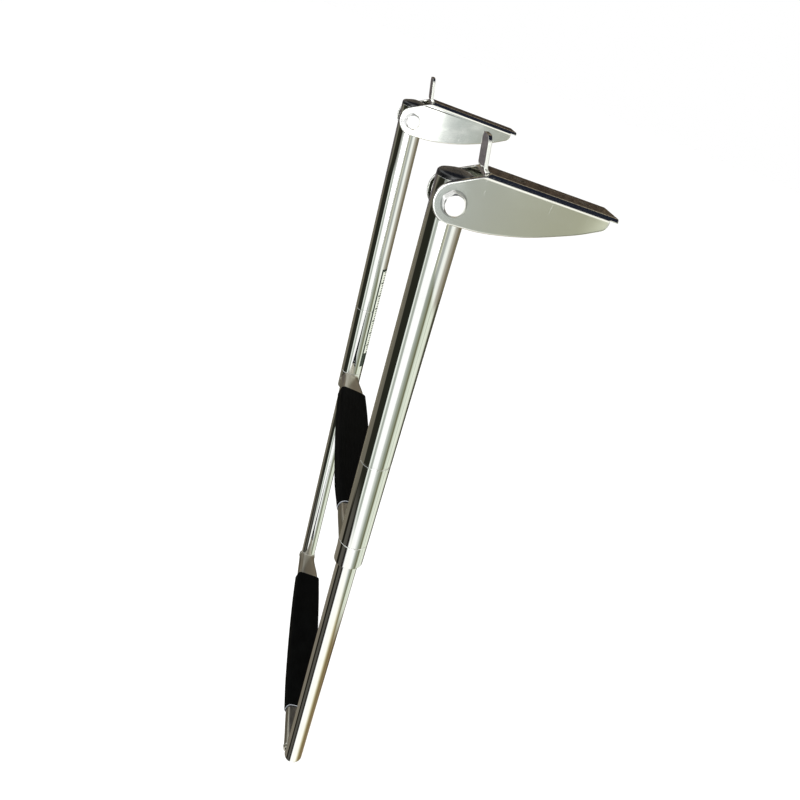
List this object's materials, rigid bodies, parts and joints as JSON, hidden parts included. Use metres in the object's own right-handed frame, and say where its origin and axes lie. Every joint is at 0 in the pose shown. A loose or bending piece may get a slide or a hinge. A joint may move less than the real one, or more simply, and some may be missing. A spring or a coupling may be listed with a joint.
{
  "type": "telescoping boarding ladder",
  "caption": "Telescoping boat boarding ladder of polished steel tube with rubber-sleeved steps, swinging on bent plate brackets that screw flat to a swim platform.",
  "frame": {"origin": "centre of the four mounting-screw holes, on the plane of the two bracket faces that lie against the platform", "axes": "+Z out of the mounting faces, +X along the pivot line towards the bolt heads, +Y inboard towards the bracket tips; the stiles hang towards -Z"},
  "size_m": [0.3455, 0.1174, 0.6623],
  "materials": {
    "bracket_steel": "mirror-polished stainless sheet",
    "tube_steel": "mirror-polished stainless tube",
    "step_steel": "polished stainless, slightly softer where it is flattened",
    "fastener_steel": "polished stainless fasteners",
    "tread_rubber": "fine-ribbed black rubber sleeve",
    "cap_plastic": "moulded black plug",
    "bush_nylon": "natural nylon",
    "nut_ring_nylon": "blue nylon locking ring",
    "strip_vinyl": "pale vinyl strip with a dark green border and no lettering"
  },
  "bodies": {
    "brackets": {"bracket_right": "bracket_steel", "bracket_left": "bracket_steel", "pivot_bolts": "fastener_steel", "lock_nuts": "fastener_steel", "lock_nut_rings": "nut_ring_nylon", "nut_washers": "fastener_steel", "pivot_sleeves": "fastener_steel"},
    "upper_section": {"upper_tube_right": "tube_steel", "upper_tube_left": "tube_steel", "end_cap_right": "cap_plastic", "end_cap_left": "cap_plastic", "pivot_bushes": "bush_nylon", "collar_right": "tube_steel", "collar_left": "tube_steel", "guide_bush_right": "bush_nylon", "guide_bush_left": "bush_nylon", "upper_step": "step_steel", "upper_tread": "tread_rubber", "info_strip": "strip_vinyl"},
    "lower_section": {"lower_tube_right": "tube_steel", "lower_tube_left": "tube_steel", "stop_plug_right": "bush_nylon", "stop_plug_left": "bush_nylon", "foot_plug_right": "tube_steel", "foot_plug_left": "tube_steel", "lower_step": "step_steel", "lower_tread": "tread_rubber"}
  },
  "joints": [
    {"name": "fold", "type": "hinge", "parent": "brackets", "child": "upper_section", "pos_m": [0, -0.061, -0.0232], "axis": [1, 0, 0], "range_deg": [-176, 84.6]},
    {"name": "telescope", "type": "slide", "parent": "upper_section", "child": "lower_section", "axis": [0, -0.0941, 0.9956], "range_m": [0, 0.258]}
  ]
}
